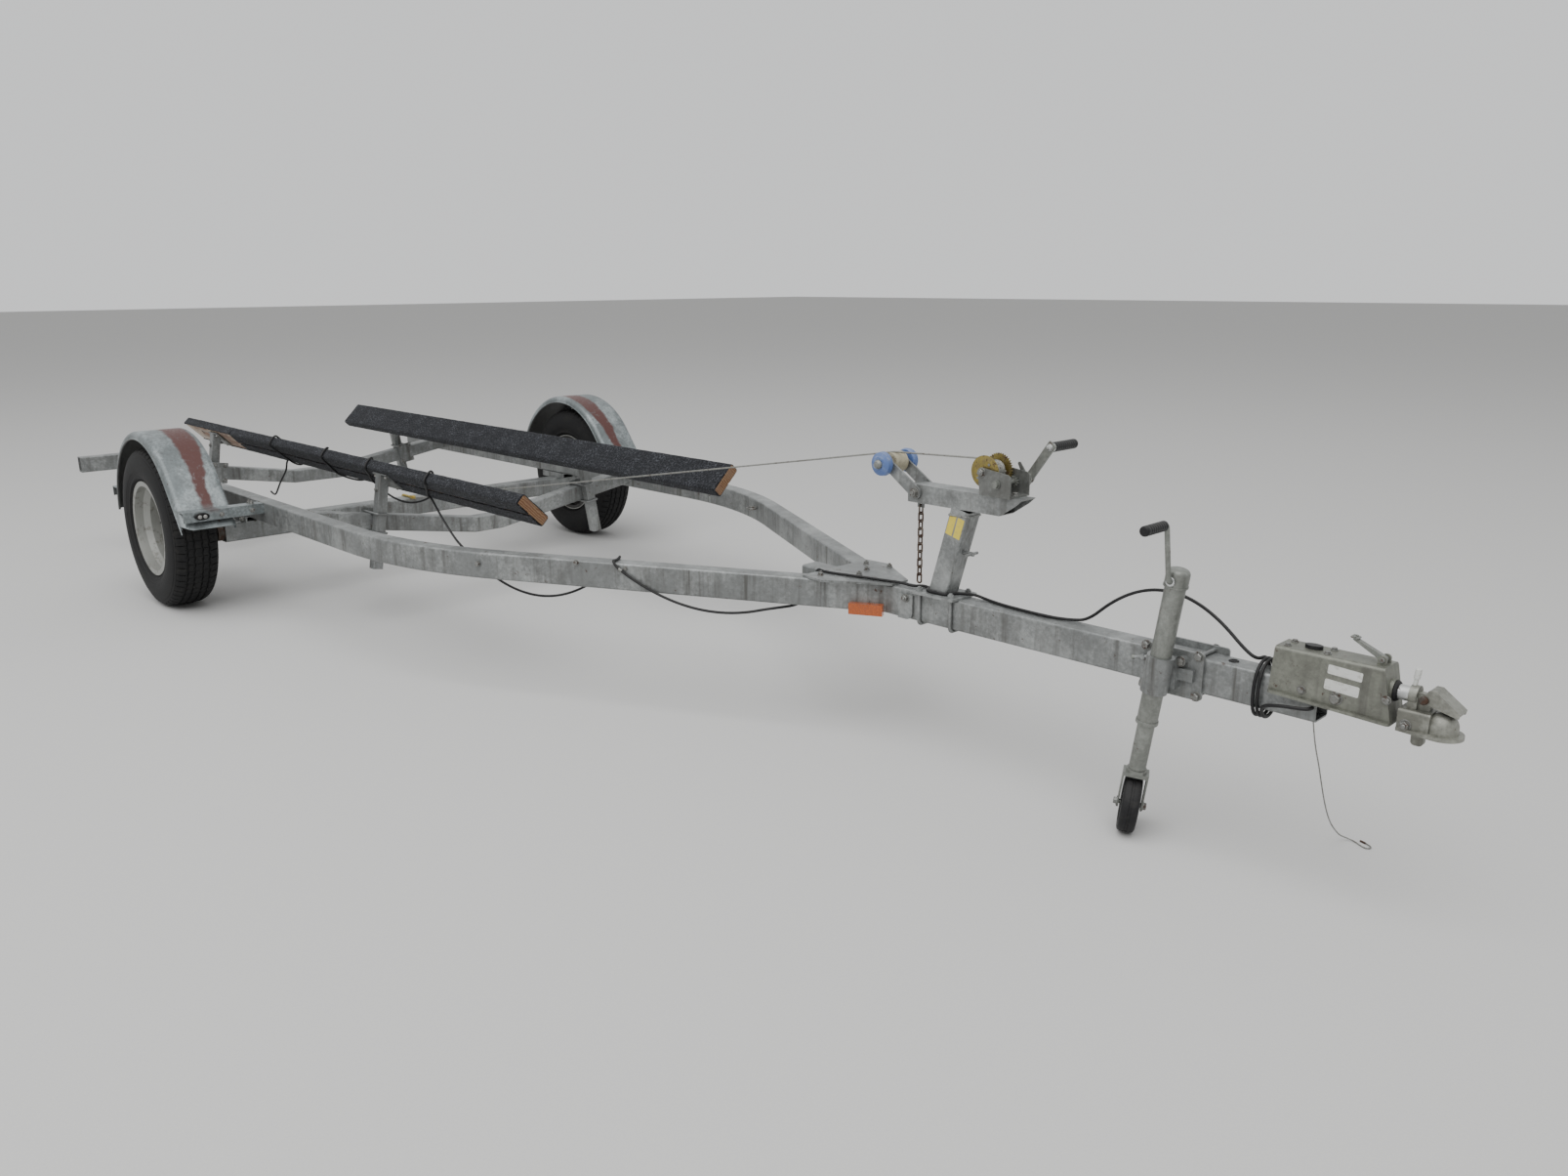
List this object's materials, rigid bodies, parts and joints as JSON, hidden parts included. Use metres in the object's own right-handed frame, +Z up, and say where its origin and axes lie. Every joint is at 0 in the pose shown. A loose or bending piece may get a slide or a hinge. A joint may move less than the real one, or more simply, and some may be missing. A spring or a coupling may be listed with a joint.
{
  "type": "boat trailer",
  "caption": "Single-axle galvanised boat trailer with two carpeted bunks, winch post with bow roller, side jack and overrun ball coupling.",
  "frame": {"origin": "ground point under the middle of the trailer's length and width, cords left out", "axes": "+X forward to the coupling, +Y to the trailer's left, +Z up"},
  "size_m": [5.919, 2.216, 0.8895],
  "materials": {
    "galvanised": "matt zinc coat, weathered",
    "tyre": "worn rubber",
    "rim_silver": "dull silver",
    "dark_steel": "rusty dark steel",
    "carpet": "dark ribbed carpet",
    "wood": "bare weathered wood",
    "blue_plastic": "faded blue",
    "roller_rubber": "yellowed",
    "yellow_zinc": "yellow zinc plate",
    "zinc_steel": "dull zinc",
    "black_plastic": "matt black",
    "black_rubber": "matt black",
    "bright_steel": "bright",
    "orange_lens": "glossy lens",
    "chain_steel": "dull zinc, a little rust",
    "wire_steel": "grey stranded wire",
    "hook_zinc": "yellow zinc plate",
    "clear_lens": "clear lens",
    "cable_black": "matt black sheath",
    "cast_head": "greenish zinc"
  },
  "bodies": {
    "chassis": {"axle_beam": "galvanised", "breakaway_cable": "wire_steel", "bunk_carpet_left": "carpet", "bunk_carpet_right": "carpet", "bunk_plank_left": "wood", "bunk_plank_right": "wood", "bunk_post_front_left": "galvanised", "bunk_post_front_right": "galvanised", "bunk_post_rear_left": "galvanised", "bunk_post_rear_right": "galvanised", "coupling_head": "cast_head", "coupling_housing": "cast_head", "draw_shaft": "bright_steel", "drawbar": "galvanised", "fender_left": "galvanised", "fender_right": "galvanised", "filler_cap": "black_plastic", "front_crossmember": "galvanised", "gusset_plate": "galvanised", "jack_clamp": "galvanised", "jack_outer_tube": "zinc_steel", "light_cable": "cable_black", "position_lamps": "clear_lens", "rear_crossmember": "galvanised", "rear_outrigger_left": "galvanised", "rear_outrigger_right": "galvanised", "roller_bracket": "galvanised", "side_markers": "orange_lens", "side_rail_left": "galvanised", "side_rail_right": "galvanised", "suspension_arm_left": "dark_steel", "suspension_arm_right": "dark_steel", "winch_arm": "galvanised", "winch_chain": "chain_steel", "winch_frame": "zinc_steel", "winch_hook": "hook_zinc", "winch_post": "galvanised", "winch_post_clamp": "galvanised", "winch_wire": "wire_steel"},
    "wheel_left": {"tyre_left": "tyre", "wheel_rim_left": "rim_silver", "brake_drum_left": "dark_steel"},
    "wheel_right": {"tyre_right": "tyre", "wheel_rim_right": "rim_silver", "brake_drum_right": "dark_steel"},
    "bow_roller_set": {"bow_roller": "roller_rubber", "roller_end_discs": "blue_plastic"},
    "winch_drum": {"winch_drum": "yellow_zinc", "wire_turns": "wire_steel"},
    "winch_handle": {"winch_crank": "zinc_steel", "winch_grip": "black_plastic"},
    "jack_leg": {"jack_inner_tube": "zinc_steel"},
    "jack_caster": {"jack_fork": "zinc_steel"},
    "jack_wheel": {"jack_wheel": "black_rubber"},
    "jack_handle": {"jack_crank": "zinc_steel", "jack_grip": "black_plastic"},
    "coupling_handle": {"coupling_handle": "cast_head"},
    "brake_lever": {"brake_lever": "zinc_steel"}
  },
  "joints": [
    {"name": "wheel_left_spin", "type": "hinge", "parent": "chassis", "child": "wheel_left", "pos_m": [-1.5795, 1.015, 0.325], "axis": [0, 1, 0], "continuous": true},
    {"name": "wheel_right_spin", "type": "hinge", "parent": "chassis", "child": "wheel_right", "pos_m": [-1.5795, -1.015, 0.325], "axis": [0, 1, 0], "continuous": true},
    {"name": "bow_roller_spin", "type": "hinge", "parent": "chassis", "child": "bow_roller_set", "pos_m": [1.4555, 0, 0.8], "axis": [0, 1, 0], "continuous": true},
    {"name": "winch_drum_turn", "type": "hinge", "parent": "chassis", "child": "winch_drum", "pos_m": [1.7865, 0, 0.812], "axis": [0, 1, 0], "continuous": true},
    {"name": "winch_crank_turn", "type": "hinge", "parent": "chassis", "child": "winch_handle", "pos_m": [1.83451, 0, 0.786], "axis": [0, 1, 0], "continuous": true},
    {"name": "jack_lift", "type": "slide", "parent": "chassis", "child": "jack_leg", "axis": [0.1305, 0, 0.9914], "range_m": [-0.15, 0.11]},
    {"name": "jack_swivel", "type": "hinge", "parent": "jack_leg", "child": "jack_caster", "pos_m": [2.30451, -0.086, 0.16208], "axis": [0.1305, 0, 0.9914], "continuous": true},
    {"name": "jack_wheel_spin", "type": "hinge", "parent": "jack_caster", "child": "jack_wheel", "pos_m": [2.2925, -0.086, 0.07086], "axis": [0.8705, 0.4787, -0.1146], "continuous": true},
    {"name": "jack_crank_turn", "type": "hinge", "parent": "chassis", "child": "jack_handle", "pos_m": [2.36742, -0.12, 0.63995], "axis": [0, 1, 0], "range_deg": [-10800, 7920]},
    {"name": "coupling_handle_lift", "type": "hinge", "parent": "chassis", "child": "coupling_handle", "pos_m": [2.8845, 0, 0.4705], "axis": [0, 1, 0], "range_deg": [-30, 0]},
    {"name": "brake_lever_pull", "type": "hinge", "parent": "chassis", "child": "brake_lever", "pos_m": [2.7935, 0, 0.5315], "axis": [0, 1, 0], "range_deg": [0, 55]}
  ],
  "couplings": [
    {"joint": "winch_crank_turn", "follows": "winch_drum_turn", "ratio": -3.1667},
    {"joint": "jack_lift", "follows": "jack_crank_turn", "m_per_rad": 0.00079577}
  ]
}
